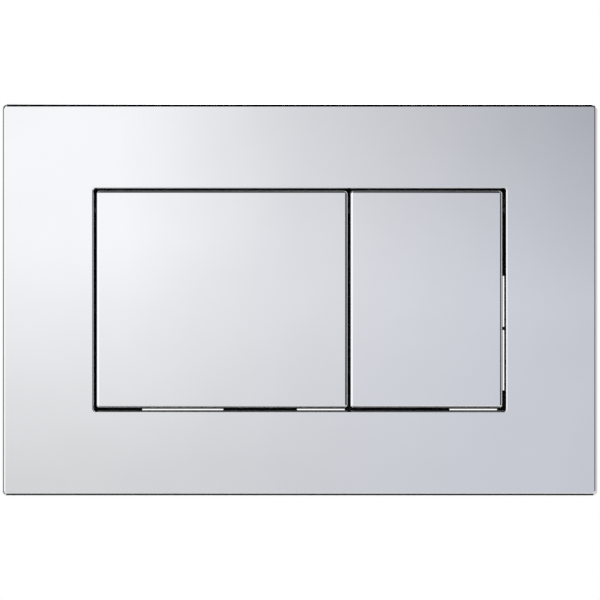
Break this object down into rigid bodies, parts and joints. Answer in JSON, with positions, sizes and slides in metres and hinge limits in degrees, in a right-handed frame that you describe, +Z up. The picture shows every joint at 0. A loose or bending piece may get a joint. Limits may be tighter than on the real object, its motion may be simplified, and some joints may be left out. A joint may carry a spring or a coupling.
{
  "type": "flush button plate",
  "caption": "Polished rectangular cistern cover plate with a wide and a narrow hinged flush button, push rods, return springs and a wall mounting frame.",
  "frame": {"origin": "centre of the cover on the wall plane, at the rear edge of its skirt", "axes": "+X to the right seen from the room, +Y into the wall, +Z up"},
  "size_m": [0.246, 0.065, 0.162],
  "materials": {
    "chrome_plating": "polished",
    "black_plastic": "moulded",
    "grey_plastic": "moulded",
    "white_plastic": "moulded",
    "rod_plastic": "moulded",
    "tip_plastic": "moulded",
    "plated_steel": "zinc plated",
    "bright_steel": "drawn",
    "buffer_rubber": "matte"
  },
  "bodies": {
    "plate": {"front_plate": "chrome_plating", "button_carrier": "black_plastic", "mounting_frame": "white_plastic", "fixing_rod_left": "plated_steel", "fixing_rod_right": "plated_steel", "thumb_nut_left": "grey_plastic", "thumb_nut_right": "grey_plastic", "full_flush_hinge_pin": "bright_steel", "half_flush_hinge_pin": "bright_steel", "full_flush_spring": "bright_steel", "half_flush_spring": "bright_steel", "stop_buffers": "buffer_rubber"},
    "full_flush_button": {"full_flush_cap": "chrome_plating", "full_flush_rocker": "grey_plastic"},
    "half_flush_button": {"half_flush_cap": "chrome_plating", "half_flush_rocker": "grey_plastic"},
    "full_flush_rod": {"full_flush_push_rod": "rod_plastic", "full_flush_rod_tip": "tip_plastic"},
    "half_flush_rod": {"half_flush_push_rod": "rod_plastic", "half_flush_rod_tip": "tip_plastic"}
  },
  "joints": [
    {"name": "full_flush_press", "type": "hinge", "parent": "plate", "child": "full_flush_button", "pos_m": [0, 0.001, 0.0377], "axis": [1, 0, 0], "range_deg": [0, 6], "stiffness_Nm_per_rad": 2.5, "springref_deg": -3.44},
    {"name": "full_flush_rod_slide", "type": "slide", "parent": "plate", "child": "full_flush_rod", "axis": [0, 1, 0], "range_m": [0, 0.0054], "deforming": ["full_flush_spring"]},
    {"name": "half_flush_press", "type": "hinge", "parent": "plate", "child": "half_flush_button", "pos_m": [0, 0.001, 0.0377], "axis": [1, 0, 0], "range_deg": [0, 6], "stiffness_Nm_per_rad": 2.5, "springref_deg": -3.44},
    {"name": "half_flush_rod_slide", "type": "slide", "parent": "plate", "child": "half_flush_rod", "axis": [0, 1, 0], "range_m": [0, 0.0054], "deforming": ["half_flush_spring"]}
  ],
  "couplings": [
    {"joint": "full_flush_rod_slide", "follows": "full_flush_press", "m_per_rad": 0.05068},
    {"joint": "half_flush_rod_slide", "follows": "half_flush_press", "m_per_rad": 0.05068}
  ]
}
